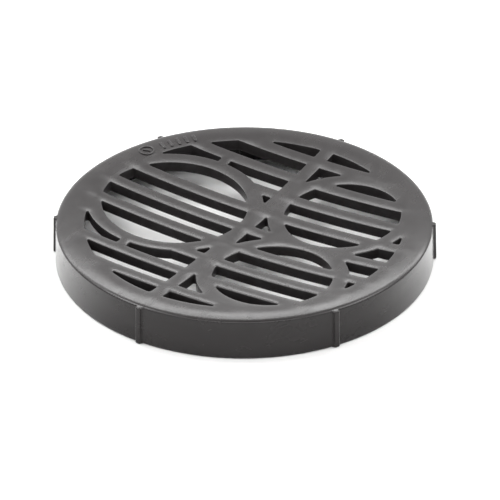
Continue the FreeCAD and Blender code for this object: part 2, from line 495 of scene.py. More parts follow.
def uneven(x, y, size, seed):
    return np.array([noise.noise((a / size + seed, b / size - seed, seed * 0.37))
                     for a, b in zip(x, y)])


def away_from_camera(pts):
    """-1 on the camera's side of the grate, 1 on the far side."""
    return np.clip((pts[:, 1] * math.cos(YAW) - pts[:, 0] * math.sin(YAW)) / 60.0, -1, 1)


def surface(pts, d_slot):
    """Height of the top face, without the rounding of its edges."""
    x, y = pts[:, 0], pts[:, 1]
    r = np.hypot(x, y)
    z = PLANE + CROWN + np.interp(r, PROFILE_R, PROFILE_Z)
    # the fall towards slots is greater on the camera's side and smaller on the rim
    side = 0.85 - 0.35 * away_from_camera(pts)
    ring = 1 - 0.6 * np.clip((r - 61.0) / 5.0, 0, 1)
    for width, fall in SWELL:
        z = z - fall * side * ring * np.clip(1 - d_slot / width, 0, 1) ** 2
    for mx, my, reach_x, reach_y, height in MOUNDS:
        z = z + height * np.exp(-((x - mx) / reach_x) ** 2 / 2 - ((y - my) / reach_y) ** 2 / 2)
    for height, size, seed in WAVES:
        z = z + height * uneven(x, y, size, seed)
    return z


def round_off(d, r):
    """Drop of an edge rounded to radius r, at distance d from it."""
    u = np.clip(r - d, 0, r)
    return r - np.sqrt(np.maximum(r * r - u * u, 0))


def top_z(pts, d_slot, d_out):
    edge = EDGE * (0.74 - 0.38 * away_from_camera(pts))     # sharper on the far side
    return surface(pts, d_slot) - round_off(d_slot, edge) - round_off(d_out, OUT_EDGE)


def under_z(pts, d_slot):
    r = np.hypot(pts[:, 0], pts[:, 1])
    cap = SPHERE_R - DISH_DEPTH - np.sqrt(SPHERE_R * SPHERE_R - np.minimum(r, DISH_R) ** 2)
    low = 0.25 * np.clip((72.0 - r) / 6.0, 0, 1)
    return UNDER + cap - low + round_off(d_slot, EDGE_LOW)


# ---------------------------------------------------------------- points of the plate
N_RIM = 720         # points round the outside
GRID_STEP = 1.35    # spacing of the triangular lattice between edges
# rows of points beside slots and inside the outline, by distance
OFFSETS = (0.035, 0.10, 0.19, 0.30, 0.42, 0.75, 1.3, 2.0, 2.9)
OUT_OFFSETS = (0.036, 0.09, 0.18, 0.30, 0.42, 0.55, 0.9, 1.5, 2.2, 3.0, 3.9, 4.9, 6.0)
FINE = 0.6          # rows nearer than this keep all their points


def circle_points(radius, n):
    t = np.arange(n) * 2 * math.pi / n
    return np.stack([radius * np.cos(t), radius * np.sin(t)], 1)


def thin_row(row, gap):
    kept = [row[0]]
    for point in row[1:]:
        if np.hypot(*(point - kept[-1])) >= gap:
            kept.append(point)
    return np.array(kept)


def row_points():
    """Rows of points beside all edges, and the distance of each from its slot."""
    rows, distances = [], []
    for off in OFFSETS:
        for outline, solid in loops:
            row = outline + solid * off
            if off > FINE:
                row = thin_row(row, off * 0.55 + 0.45)
            r = np.hypot(row[:, 0], row[:, 1])
            row = row[r < EDGE_OUT_R - (3.2 if off > FINE else 1.0)]
            if not len(row):
                continue
            ok = slot_distance(row) > off * 0.93
            rows.append(row[ok])
            distances.append(np.full(ok.sum(), off))
    for off in OUT_OFFSETS:
        row = circle_points(EDGE_OUT_R - off, N_RIM if off < 2 else N_RIM // 2)
        d = slot_distance(row)
        ok = d > (2.6 if off > 3 else 0.5)
        rows.append(row[ok])
        distances.append(d[ok])
    rows, distances = np.concatenate(rows), np.concatenate(distances)
    hole = in_slot(rows)
    return rows[~hole], distances[~hole]


def lattice_points():
    gx, gy = np.meshgrid(np.arange(-72, 72, GRID_STEP),
                         np.arange(-72, 72, GRID_STEP * math.sqrt(3) / 2))
    gx[1::2] += GRID_STEP / 2
    grid = np.stack([gx.ravel(), gy.ravel()], 1)
    grid = grid[np.hypot(grid[:, 0], grid[:, 1]) < EDGE_OUT_R - 6.6]
    return grid[~in_slot(grid) & (slot_distance(grid) > 1.1)]


def thin(pts, spacing, taken, taken_spacing):
    """Points at least spacing apart and clear of taken ones, chosen in order: their indices."""
    cell = 1.5
    bins = {}

    def add(x, y, s):
        bins.setdefault((int(x // cell), int(y // cell)), []).append((x, y, s))

    def crowded(x, y, s):
        cx, cy = int(x // cell), int(y // cell)
        return any((px - x) ** 2 + (py - y) ** 2 < min(s, ps) * min(s, ps)
                   for a in (cx - 1, cx, cx + 1) for b in (cy - 1, cy, cy + 1)
                   for px, py, ps in bins.get((a, b), ()))

    for (x, y), s in zip(taken, taken_spacing):
        add(x, y, s)
    keep = []
    for i, ((x, y), s) in enumerate(zip(pts, spacing)):
        if not crowded(x, y, s):
            keep.append(i)
            add(x, y, s)
    return np.array(keep, int)


def triangulate():
    """Plate in plan: points and anticlockwise triangles, with the slots left open."""
    outlines = [p for p, _ in loops] + [circle_points(EDGE_OUT_R, N_RIM)]
    edges = []
    base = 0
    for outline in outlines:
        n = len(outline)
        edges += [(base + i, base + (i + 1) % n) for i in range(n)]
        base += n
    fixed = np.concatenate(outlines)

    rows, row_d = row_points()
    want = np.where(row_d < FINE, 0.045, np.clip(row_d * 0.5, 0.35, 1.0))
    keep = thin(rows, want, fixed, np.full(len(fixed), 0.03))
    rows, row_d = rows[keep], row_d[keep]
    grid = lattice_points()
    taken = np.concatenate([fixed, rows])
    taken_gap = np.concatenate([np.full(len(fixed), 0.5), np.clip(row_d * 0.6, 0.3, 1.0)])
    grid = grid[thin(grid, np.full(len(grid), 0.95), taken, taken_gap)]

    everything = np.concatenate([fixed, rows, grid])
    cdt = delaunay_2d_cdt([Vector((x, y)) for x, y in everything], edges, [], 0, 1e-6, False)
    pts = np.array([(v[0], v[1]) for v in cdt[0]])
    tri = np.array([f for f in cdt[2] if len(f) == 3])
    cen = pts[tri].mean(1)
    tri = tri[~((np.hypot(cen[:, 0], cen[:, 1]) > EDGE_OUT_R) | in_slot(cen))]
    a, b, c = pts[tri[:, 0]], pts[tri[:, 1]], pts[tri[:, 2]]
    area = (b[:, 0] - a[:, 0]) * (c[:, 1] - a[:, 1]) - (c[:, 0] - a[:, 0]) * (b[:, 1] - a[:, 1])
    tri[area < 0] = tri[area < 0][:, ::-1]
    return pts, tri[np.abs(area) > 1e-9]


# ---------------------------------------------------------------- cuts where features meet
CUT_REACH = 1.6     # triangles whose centres are nearer to a cut than this may be split
CUT_SNAP = 0.02     # points nearer to it than this count as on it


def crossing_point(curve, a, b, value_a):
    """Where the curve crosses from a to b, by bisection."""
    t0, t1 = 0.0, 1.0
    for _ in range(30):
        mid = (t0 + t1) / 2
        if curve((a + (b - a) * mid)[None])[0] * value_a > 0:
            t0 = mid
        else:
            t1 = mid
    return a + (b - a) * (t0 + t1) / 2


def split(pts, tri, curve, region):
    """Splits the triangles that curve(points) = 0 crosses, where region(x, y) is true."""
    value = curve(pts)
    value[np.abs(value) < CUT_SNAP] = 0.0
    cen = pts[tri].mean(1)
    pick = (np.abs(curve(cen)) < CUT_REACH) & region(cen[:, 0], cen[:, 1])
    v = value[tri]
    new_id, new_pts = {}, []
    for t in tri[pick & (v.max(1) > 0) & (v.min(1) < 0)]:
        for i in range(3):
            p, q = int(t[i]), int(t[(i + 1) % 3])
            key = (min(p, q), max(p, q))
            if value[p] * value[q] < 0 and key not in new_id:
                new_id[key] = len(pts) + len(new_pts)
                new_pts.append(crossing_point(curve, pts[key[0]], pts[key[1]], value[key[0]]))
    if not new_pts:
        return pts, tri
    pts = np.concatenate([pts, np.array(new_pts)])
    keep, out = [], []
    for n, t in enumerate(tri):
        ids = [int(i) for i in t]
        mids = [new_id.get((min(ids[i], ids[(i + 1) % 3]), max(ids[i], ids[(i + 1) % 3])))
                for i in range(3)]
        cut = [i for i in range(3) if mids[i] is not None]
        whole = [i for i in range(3) if mids[i] is None]
        if not cut:
            keep.append(n)
            continue
        i = cut[0] if len(cut) == 1 else whole[0]
        p, q, r = ids[i], ids[(i + 1) % 3], ids[(i + 2) % 3]
        if len(cut) == 1:
            out += [(p, mids[i], r), (mids[i], q, r)]
            continue
        mq, mr = mids[(i + 1) % 3], mids[(i + 2) % 3]
        out += [(mq, r, mr)]
        # halve the remaining quadrilateral by its shorter diagonal
        if np.hypot(*(pts[p] - pts[mq])) < np.hypot(*(pts[q] - pts[mr])):
            out += [(p, q, mq), (p, mq, mr)]
        else:
            out += [(p, q, mr), (q, mq, mr)]
    return pts, np.concatenate([tri[keep], np.array(out, int)])


def cut_features(pts, tri):
    """Cuts the plate along the edges of rim, spine, rings, centre bar and webs."""
    def circle(cx, cy, r):
        return lambda p: np.hypot(p[:, 0] - cx, p[:, 1] - cy) - r

    def line(axis, at):
        return lambda p: p[:, axis] - at

    def in_grid(x, y):
        return np.hypot(x, y) < GRID_R

    def cut(curve, region=lambda x, y: True):
        nonlocal pts, tri
        pts, tri = split(pts, tri, curve, region)

    cut(circle(0, 0, GRID_R))
    cut(line(0, -HALF_SPINE), in_grid)
    cut(line(0, HALF_SPINE), in_grid)
    cut(circle(LARGE_X, 0, LARGE_IN))
    cut(circle(LARGE_X, 0, LARGE_OUT), lambda x, y: (x < -HALF_SPINE) & in_grid(x, y))
    for s in (-1, 1):
        cut(circle(SMALL_X, s * SMALL_Y, SMALL_IN), lambda x, y: y * s > 0)
        cut(circle(SMALL_X, s * SMALL_Y, SMALL_OUT),
            lambda x, y: (x > HALF_SPINE) & in_grid(x, y) & (y * s > HALF_BAR))
        cut(line(1, s * HALF_BAR), lambda x, y: (x > HALF_SPINE) & in_grid(x, y))
        cut(line(1, s * bar_bottom(3)), lambda x, y: np.abs(x - LARGE_X) < WEB_W / 2 + 1.2)
    return pts, tri


def feature_at(x, y):
    """Name of the CAD node that a triangle centred at x, y belongs to."""
    side = "back" if y > 0 else "front"
    across = abs(y)
    if math.hypot(x, y) > GRID_R:
        return "rim_plate"
    if abs(x) < HALF_SPINE:
        return "spine_bar"
    if x < 0:
        from_large = math.hypot(x - LARGE_X, y)
        if from_large < LARGE_IN:
            return "large_ring_bar_%d" % (1 if y > PITCH / 2 else 3 if y < -PITCH / 2 else 2)
        if from_large < LARGE_OUT:
            return "large_ring"
        if abs(x - LARGE_X) < WEB_W / 2 + 1.0 and across < bar_bottom(3):
            return side + "_web"
        if across > 3 * PITCH + PITCH / 2:
            return side + "_outer_bar_left"
        if across > bar_bottom(3) - 1.0:
            return side + "_inner_bar_left"
        if abs(across - 2 * PITCH) < HALF_BAR + 1.0 and x > LARGE_X:
            return side + "_stub_bar_centre"
        return "large_ring"
    if across < HALF_BAR:
        return "centre_bar"
    from_small = math.hypot(x - SMALL_X, across - SMALL_Y)
    if from_small < SMALL_IN:
        return side + "_ring_bar_%d" % min(3, max(1, int(round(across / PITCH))))
    if from_small < SMALL_OUT:
        return side + "_ring"
    if across > 3 * PITCH + PITCH / 2:
        return side + "_outer_bar_right"
    if abs(across - PITCH) < HALF_BAR + 1.0 and x > SMALL_X:
        return side + "_stub_bar_right"
    return side + "_ring"


plan, tri = cut_features(*triangulate())
features = np.array([feature_at(x, y) for x, y in plan[tri].mean(1)], dtype=object)

# ---------------------------------------------------------------- the whole plate as a solid
# directed edge: its triangle
owner = {}
for n, t in enumerate(tri):
    for i in range(3):
        owner[(int(t[i]), int(t[(i + 1) % 3]))] = n
open_edges = [e for e in owner if (e[1], e[0]) not in owner]
on_edge = np.zeros(len(plan), bool)
for e in open_edges:
    on_edge[e[0]] = on_edge[e[1]] = True
plan_r = np.hypot(plan[:, 0], plan[:, 1])
on_outline = on_edge & (plan_r > EDGE_OUT_R - 0.5)
d_slot = slot_distance(plan)
d_slot[on_edge & ~on_outline] = 0.0
d_out = np.maximum(EDGE_OUT_R - plan_r, 0.0)
d_out[on_outline] = 0.0

# the underside is set back from each slot by the mould's draft, and drawn out to the skirt
solid_dir = edge_solid[nearest_edge(plan)]
plan_low = plan + solid_dir * (DRAFT * np.clip(1 - d_slot / 1.5, 0, 1))[:, None]
grow = np.clip(1 - d_out / 1.5, 0, 1)
plan_low = plan_low * (1 + grow * (OUTER_UNDER / EDGE_OUT_R - 1))[:, None]

# vertices of the top, then of the underside in the same order
N_TOP = len(plan)
plate_verts = np.concatenate([np.column_stack([plan, top_z(plan, d_slot, d_out)]),
                              np.column_stack([plan_low, under_z(plan, d_slot)])])
top_faces = tri
low_faces = tri[:, ::-1] + N_TOP
walls = np.array([(b, a, a + N_TOP, b + N_TOP) for a, b in open_edges], int)
wall_owner = np.array([owner[e] for e in open_edges])


def face_normals(verts, faces):
    if faces.shape[1] == 3:
        n = np.cross(verts[faces[:, 1]] - verts[faces[:, 0]],
                     verts[faces[:, 2]] - verts[faces[:, 0]])
    else:
        n = np.cross(verts[faces[:, 2]] - verts[faces[:, 0]],
                     verts[faces[:, 3]] - verts[faces[:, 1]])
    return n / np.maximum(np.linalg.norm(n, axis=1), 1e-12)[:, None]


def vertex_normals(verts, blocks):
    """Angle-weighted vertex normals."""
    total = np.zeros_like(verts)
    for faces in blocks:
        normals = face_normals(verts, faces)
        k = faces.shape[1]
        for i in range(k):
            e1 = verts[faces[:, (i + 1) % k]] - verts[faces[:, i]]
            e2 = verts[faces[:, i - 1]] - verts[faces[:, i]]
            lengths = np.linalg.norm(e1, axis=1) * np.linalg.norm(e2, axis=1)
            cosine = (e1 * e2).sum(1) / np.maximum(lengths, 1e-12)
            weight = np.arccos(np.clip(cosine, -1, 1))
            np.add.at(total, faces[:, i], normals * weight[:, None])
    return total / np.maximum(np.linalg.norm(total, axis=1), 1e-12)[:, None]


# the outside wall runs straight on into the skirt and meets the underside at a sharp line
outside_n = np.column_stack([plan[on_outline], np.zeros(on_outline.sum())])
outside_n /= np.linalg.norm(outside_n, axis=1)[:, None]
outside_n[:, 2] = (FOOT_R - RIM_R) / TOP
outside_n /= np.linalg.norm(outside_n, axis=1)[:, None]
outline_ids = np.where(on_outline)[0]
top_normals = vertex_normals(plate_verts, [top_faces, low_faces, walls])
top_normals[outline_ids] = outside_n
wall_normals = top_normals.copy()
wall_normals[outline_ids + N_TOP] = outside_n
low_normals = top_normals.copy()
low_normals[outline_ids + N_TOP] = (0, 0, -1)

wear_top = np.exp(-d_slot / 0.35) * 0.9
wear_top = np.maximum(wear_top, np.exp(-d_out / 0.35) * 0.25)
plate_wear = np.concatenate([wear_top, np.where(on_outline, 0.0, wear_top * 0.4)])


# ---------------------------------------------------------------- shader graphs
class Graph:
    """Builds the nodes of an emptied node tree. Values may be numbers or sockets."""

    def __init__(self, tree):
        self.tree = tree
        self.link = tree.links.new
        tree.nodes.clear()

    def node(self, kind, **props):
        n = self.tree.nodes.new(kind)
        for key, value in props.items():
            setattr(n, key, value)
        return n

    def math(self, operation, *values, clamp=False):
        n = self.node("ShaderNodeMath", operation=operation, use_clamp=clamp)
        for socket, value in zip(n.inputs, values):
            if isinstance(value, (int, float)):
                socket.default_value = value
            else:
                self.link(value, socket)
        return n.outputs[0]

    def add(self, a, b):
        return self.math("ADD", a, b)

    def subtract(self, a, b):
        return self.math("SUBTRACT", a, b)

    def multiply(self, value, *others):
        for other in others:
            value = self.math("MULTIPLY", value, other)
        return value

    def remap(self, value, from_range, to_range=(0.0, 1.0), **props):
        n = self.node("ShaderNodeMapRange", **props)
        self.link(value, n.inputs["Value"])
        n.inputs["From Min"].default_value, n.inputs["From Max"].default_value = from_range
        n.inputs["To Min"].default_value, n.inputs["To Max"].default_value = to_range
        return n.outputs[0]


# ---------------------------------------------------------------- dark grey polypropylene
def make_plastic():
    material = bpy.data.materials.new("grate_plastic")
    material.use_nodes = True
    g = Graph(material.node_tree)
    coords = g.node("ShaderNodeTexCoord").outputs["Object"]

    def noise_texture(scale, detail, roughness, distortion=0.0, stretch=None):
        source = coords
        if stretch:
            mapping = g.node("ShaderNodeMapping")
            mapping.inputs["Scale"].default_value = stretch
            g.link(source, mapping.inputs["Vector"])
            source = mapping.outputs[0]
        n = g.node("ShaderNodeTexNoise")
        n.inputs["Scale"].default_value = scale
        n.inputs["Detail"].default_value = detail
        n.inputs["Roughness"].default_value = roughness
        n.inputs["Distortion"].default_value = distortion
        g.link(source, n.inputs["Vector"])
        return n.outputs[0]

    clouds = noise_texture(scale=55.0, detail=4.0, roughness=0.6, distortion=0.4)
    blotch = noise_texture(scale=170.0, detail=3.0, roughness=0.55, distortion=0.8)
    flow = noise_texture(scale=120.0, detail=3.0, roughness=0.6, distortion=1.2,
                         stretch=(1.0, 0.35, 1.0))
    grain = noise_texture(scale=1300.0, detail=2.0, roughness=0.5)
    speck = noise_texture(scale=600.0, detail=1.0, roughness=0.5)

    # patchy wear of the edges
    attribute = g.node("ShaderNodeAttribute", attribute_name="wear")
    patches = g.remap(blotch, from_range=(0.35, 0.75), to_range=(0.25, 1.0))
    wear = g.math("MULTIPLY", attribute.outputs["Fac"], patches, clamp=True)

    # colour: two close greys in clouds, paler where worn
    worn_paleness = 0.45
    base = g.node("ShaderNodeMix", data_type="RGBA")
    base.inputs["A"].default_value = (0.0120, 0.0098, 0.0098, 1)
    base.inputs["B"].default_value = (0.0155, 0.0130, 0.0130, 1)
    g.link(g.remap(clouds, from_range=(0.3, 0.7)), base.inputs["Factor"])
    worn = g.node("ShaderNodeMix", data_type="RGBA")
    g.link(base.outputs["Result"], worn.inputs["A"])
    worn.inputs["B"].default_value = (0.055, 0.055, 0.057, 1)
    g.link(g.multiply(wear, worn_paleness), worn.inputs["Factor"])

    base_rough, worn_rough, wall_rough = 0.25, 0.08, 0.22
    rough = g.add(g.remap(clouds, from_range=(0.25, 0.75), to_range=(-0.035, 0.035)), base_rough)
    rough = g.add(rough, g.remap(flow, from_range=(0.3, 0.7), to_range=(-0.035, 0.035)))
    rough = g.add(rough, g.multiply(wear, worn_rough))

    # slot walls come out of the mould duller than the top
    geometry = g.node("ShaderNodeNewGeometry")
    normal = g.node("ShaderNodeSeparateXYZ")
    g.link(geometry.outputs["Normal"], normal.inputs[0])
    place = g.node("ShaderNodeSeparateXYZ")
    g.link(coords, place.inputs[0])
    x, y = place.outputs["X"], place.outputs["Y"]
    radius = g.math("SQRT", g.add(g.multiply(x, x), g.multiply(y, y)))

    def steep(normal_z, radii):
        """Mask of upright faces, fading over these values of the normal's z and the radius."""
        return g.multiply(g.remap(g.math("ABSOLUTE", normal.outputs["Z"]), from_range=normal_z),
                          g.remap(radius, from_range=radii))

    dull = steep(normal_z=(0.35, 0.12), radii=(0.0735, 0.0725))
    rough = g.add(rough, g.multiply(dull, wall_rough))

    # relief, fainter on the outside wall
    grain_height, speck_height, blotch_height = 0.15, 0.6, 2.2
    relief_strength, outside_loss = 0.2, 0.185
    height = g.multiply(grain, grain_height)
    height = g.add(height, g.multiply(speck, speck_height))
    height = g.add(height, g.multiply(blotch, blotch_height))
    bump = g.node("ShaderNodeBump")
    bump.inputs["Distance"].default_value = 0.00004
    g.link(height, bump.inputs["Height"])
    outside = steep(normal_z=(0.5, 0.2), radii=(0.0740, 0.0752))
    g.link(g.subtract(relief_strength, g.multiply(outside, outside_loss)),
           bump.inputs["Strength"])

    outside_specular = -0.12
    bsdf = g.node("ShaderNodeBsdfPrincipled")
    g.link(worn.outputs["Result"], bsdf.inputs["Base Color"])
    g.link(rough, bsdf.inputs["Roughness"])
    bsdf.inputs["IOR"].default_value = 1.46
    specular = g.add(g.remap(dull, from_range=(0.0, 1.0), to_range=(0.5, 0.08)),
                     g.multiply(outside, outside_specular))
    g.link(specular, bsdf.inputs["Specular IOR Level"])
    g.link(bump.outputs[0], bsdf.inputs["Normal"])

    # the satin skin of the moulding shines more at a glancing angle, from sheen_start up
    sheen_start, outside_earlier, sheen_curve, sheen_amount = 0.55, 0.25, 2.0, 0.42
    facing = g.node("ShaderNodeLayerWeight")
    facing.inputs["Blend"].default_value = 0.5
    start = g.subtract(sheen_start, g.multiply(outside, outside_earlier))
    glance = g.math("DIVIDE", g.subtract(facing.outputs["Facing"], start),
                    g.subtract(1.0, start), clamp=True)
    glance = g.math("POWER", glance, sheen_curve)
    sheen = g.node("ShaderNodeBsdfGlossy")
    sheen.inputs["Color"].default_value = (1, 1, 1, 1)
    sheen.inputs["Roughness"].default_value = 0.22
    mix = g.node("ShaderNodeMixShader")
    g.link(g.multiply(glance, sheen_amount), mix.inputs[0])
    g.link(bsdf.outputs[0], mix.inputs[1])
    g.link(sheen.outputs[0], mix.inputs[2])
    g.link(mix.outputs[0], g.node("ShaderNodeOutputMaterial").inputs["Surface"])
    return material


PLASTIC = make_plastic()


# ---------------------------------------------------------------- pieces
def write_mesh(name, verts, faces, wear, normals=None):
    mesh = bpy.data.meshes.new(name)
    mesh.from_pydata((np.array(verts) / 1000.0).tolist(), [],
                     [tuple(int(i) for i in f) for f in faces])
    mesh.polygons.foreach_set("use_smooth", np.full(len(mesh.polygons), True))
    attribute = mesh.attributes.new("wear", "FLOAT", "POINT")
    attribute.data.foreach_set("value", np.asarray(wear, np.float32))
    if normals is not None:
        mesh.normals_split_custom_set(normals)
    mesh.update()
    obj = bpy.data.objects.new(name, mesh)
    bpy.context.scene.collection.objects.link(obj)
    return obj


def face_outwards(obj, flat_caps=False):
    bm = bmesh.new()
    bm.from_mesh(obj.data)
    bmesh.ops.recalc_face_normals(bm, faces=bm.faces)
    if flat_caps:
        for f in bm.faces:
            f.smooth = len(f.verts) == 4
    bm.to_mesh(obj.data)
    bm.free()


def finish_piece(obj, node):
    obj.data.materials.append(PLASTIC)
    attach(obj, "root")
    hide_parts(node)


def build_plate_piece(name):
    """One feature of the plate, closed where it was cut from its neighbours."""
    mine = features == name
    top, low, wall = top_faces[mine], low_faces[mine], walls[mine[wall_owner]]
    have = {(int(t[i]), int(t[(i + 1) % 3])): True for t in top for i in range(3)}
    cuts = np.array([(q, p, p + N_TOP, q + N_TOP) for p, q in have
                     if (q, p) not in have and (q, p) in owner], int).reshape(-1, 4)
    used = np.unique(np.concatenate([top.ravel(), low.ravel()]))
    new_id = np.full(2 * N_TOP, -1)
    new_id[used] = np.arange(len(used))
    faces = [f for block in (top, low, wall, cuts) for f in new_id[block]]
    normals = np.concatenate([top_normals[top.ravel()], low_normals[low.ravel()],
                              wall_normals[wall.ravel()],
                              np.repeat(face_normals(plate_verts, cuts), 4, 0)])
    obj = write_mesh(name, plate_verts[used], faces, plate_wear[used], normals.tolist())
    finish_piece(obj, name)


for name in sorted(set(features)):
    build_plate_piece(name)


# ---------------------------------------------------------------- skirt
INNER_ROUND = 0.25      # rounding of the inner foot
ROOT = 1.0              # fillet under the rim, inside


def outer_r(z):
    """Radius of the tapering outside."""
    return RIM_R + (FOOT_R - RIM_R) * (TOP - z) / TOP


def fillet(cx, cz, r, start, end, n):
    """Arc in the section, from one angle to another in degrees."""
    angles = [math.radians(start + (end - start) * i / n) for i in range(n + 1)]
    return [(cx + r * math.cos(t), cz + r * math.sin(t)) for t in angles]


def skirt_profile():
    """Section (radius, z): down the outside, across the foot and up the inside."""
    foot_r = outer_r(FOOT_ROUND) - FOOT_ROUND
    root_r = ROOT_IN + ROOT
    prof = [(OUTER_UNDER, UNDER)]
    prof += [(outer_r(z), z) for z in (UNDER - 1, UNDER - 3, 7.0, 4.0, 2.0, 1.0)]
    prof += fillet(foot_r, FOOT_ROUND, FOOT_ROUND, 0, -90, 6)
    prof += [((foot_r + SKIRT_IN_FOOT + INNER_ROUND) / 2, 0.0)]
    prof += fillet(SKIRT_IN_FOOT + INNER_ROUND, INNER_ROUND, INNER_ROUND, -90, -180, 4)
    prof += [(SKIRT_IN_FOOT + (root_r - SKIRT_IN_FOOT) * z / (UNDER - ROOT), z)
             for z in (1.2, 4.0, 8.0)]
    prof += fillet(ROOT_IN, UNDER - ROOT, ROOT, 0, 90, 8)
    return [(min(max(x, ROOT_IN), FOOT_R), z) for x, z in prof]


def profile_normals(prof):
    """Outward normals of a section's sides, and of its points, sharp at its two ends."""
    steps = np.roll(prof, -1, 0) - prof
    sides = np.array([np.array([-d[1], d[0]]) / max(np.hypot(*d), 1e-9) for d in steps])
    last = len(prof) - 1
    points = []
    for k in range(last + 1):
        n = sides[0] if k == 0 else sides[k - 1] if k == last else sides[k] + sides[k - 1]
        points.append(n / np.hypot(*n))
    return sides, points


def build_skirt():
    prof = skirt_profile()
    m = len(prof)
    sides, points = profile_normals(np.array(prof))
    angles = [2 * math.pi * i / N_RIM for i in range(N_RIM)]
    verts = np.array([(x * math.cos(t), x * math.sin(t), z) for t in angles for x, z in prof])
    faces, normals = [], []
    for i in range(N_RIM):
        j = (i + 1) % N_RIM
        for k in range(m):
            l = (k + 1) % m
            corners = ((i, k), (i, l), (j, l), (j, k))
            faces.append([turn * m + point for turn, point in corners])
            for turn, point in corners:
                # the last side is the top face, hidden under the rim
                n = sides[k] if k == m - 1 else points[point]
                t = angles[turn]
                normals.append((n[0] * math.cos(t), n[0] * math.sin(t), n[1]))
    # wear fades upwards from the foot, faster on the inside
    z = verts[:, 2]
    radii = np.hypot(verts[:, 0], verts[:, 1])
    wear = np.where(radii > 74.5, np.exp(-z / 0.5), np.exp(-z / 0.3) * 0.5)
    finish_piece(write_mesh("skirt_wall", verts, faces, wear, normals), "skirt_wall")


build_skirt()

# ---------------------------------------------------------------- locating lugs
LUG_R_FOOT = float(span("locating_lugs")[1][1])
LUG_R_TOP = LUG_R_FOOT - 0.6
LUG_TOP = PLANE - 0.55
LUG_HALF_BASE = 1.42    # half-width at the skirt
LUG_HALF_FACE = 1.12    # and at the outer face
LUG_ROUND_TOP = 0.55
LUG_ROUND_FOOT = 0.3
LUG_LEVELS = (0.8, 2, 4, 6, 8, 10, 12, 14, 14.9)


def lug_section(face, inset):
    """Half-outline from the root to the outer face: (outwards, sideways)."""
    base, half = LUG_HALF_BASE - inset * 0.6, LUG_HALF_FACE - inset
    out = face - inset
    r = min(0.38, half * 0.8)
    root_out, root_side = 0.30, 0.34    # flare at the root
    pts = [(-0.05, base + root_side)]
    for i in range(1, 5):
        t = math.radians(90 * i / 5)
        pts.append((root_out * (1 - math.cos(t)), base + root_side - root_side * math.sin(t)))
    pts.append((max(0.34, out * 0.3), base - (base - half) * 0.3))
    pts.append((max(0.40, out - r - 0.1), half + (base - half) * 0.12))
    for i in range(5):
        t = math.radians(90 * i / 4)
        pts.append((out - r + r * math.sin(t), half - r + r * math.cos(t)))
    return pts


def lug_levels():
    """Heights of a lug's sections and the inset of each, for its rounded foot and top."""
    levels = []
    for i in range(5):
        t = math.radians(90 * i / 4)
        levels.append((LUG_ROUND_FOOT - LUG_ROUND_FOOT * math.cos(t),
                       LUG_ROUND_FOOT * (1 - math.sin(t))))
    levels += [(z, 0.0) for z in LUG_LEVELS]
    for i in range(7):
        t = math.radians(90 * i / 6)
        levels.append((LUG_TOP - LUG_ROUND_TOP + LUG_ROUND_TOP * math.sin(t),
                       LUG_ROUND_TOP * (1 - math.cos(t))))
    return levels


def build_lugs():
    verts, faces = [], []
    for a in range(6):
        t = math.radians(30 + 60 * a)
        cx, cy = math.cos(t), math.sin(t)
        rows = []
        for z, inset in lug_levels():
            face = LUG_R_TOP + (LUG_R_FOOT - LUG_R_TOP) * (TOP - z) / TOP - outer_r(z)
            # near its top the lug reaches in over the rim's rounded edge
            root = 0.5 * min(max((z - (LUG_TOP - 0.5)) / 0.4, 0.0), 1.0)
            half = [(u - root * max(0.0, 1 - u / face), v) for u, v in lug_section(face, inset)]
            row = []
            for u, v in half + [(u, -v) for u, v in half[::-1]]:
                r = outer_r(z) + u
                row.append(len(verts))
                verts.append((cx * r - cy * v, cy * r + cx * v, z))
            rows.append(row)
        k = len(rows[0])
        for row, above_row in zip(rows, rows[1:]):
            for j in range(k):
                l = (j + 1) % k
                faces.append((row[j], above_row[j], above_row[l], row[l]))
        faces.append(rows[0])
        faces.append(rows[-1][::-1])
    lugs = write_mesh("locating_lugs", verts, faces, np.zeros(len(verts)))
    face_outwards(lugs, flat_caps=True)
    finish_piece(lugs, "locating_lugs")


build_lugs()

# ---------------------------------------------------------------- mould mark
MARK_R = 68.5       # radius on the rim where the mark lies
MARK_H = 0.45
MARK_SINK = -0.08   # its parts start this far under the surface
DIAL_ANGLE = 158.8  # the raised ring's place, degrees
DIAL_MID = 3.0      # its middle radius
DIAL_HALF = 0.34    # and half-width
HAND_TURN = 40      # turn of the dash within it
DASH_FIRST, DASH_STEP, DASH_COUNT = 152.2, 3.0, 5


def seated(x, y, height):
    """A point over the rim's surface, taken as if well clear of any slot."""
    clear = 9.0
    return (x, y, float(surface(np.array([[x, y]]), np.array([clear]))[0]) + height)


def add_ring(verts, faces, cx, cy, mid, half, h):
    section = [(-half, MARK_SINK), (-half, h * 0.45), (-half * 0.72, h * 0.86), (-half * 0.3, h)]
    section += [(-u, dz) for u, dz in section[::-1]]
    n, k = 64, len(section)
    first = len(verts)
    for i in range(n):
        t = 2 * math.pi * i / n
        for u, dz in section:
            verts.append(seated(cx + (mid + u) * math.cos(t), cy + (mid + u) * math.sin(t), dz))
    for i in range(n):
        j = (i + 1) % n
        for q in range(k):
            l = (q + 1) % k
            faces.append([first + v for v in (i * k + q, j * k + q, j * k + l, i * k + l)])


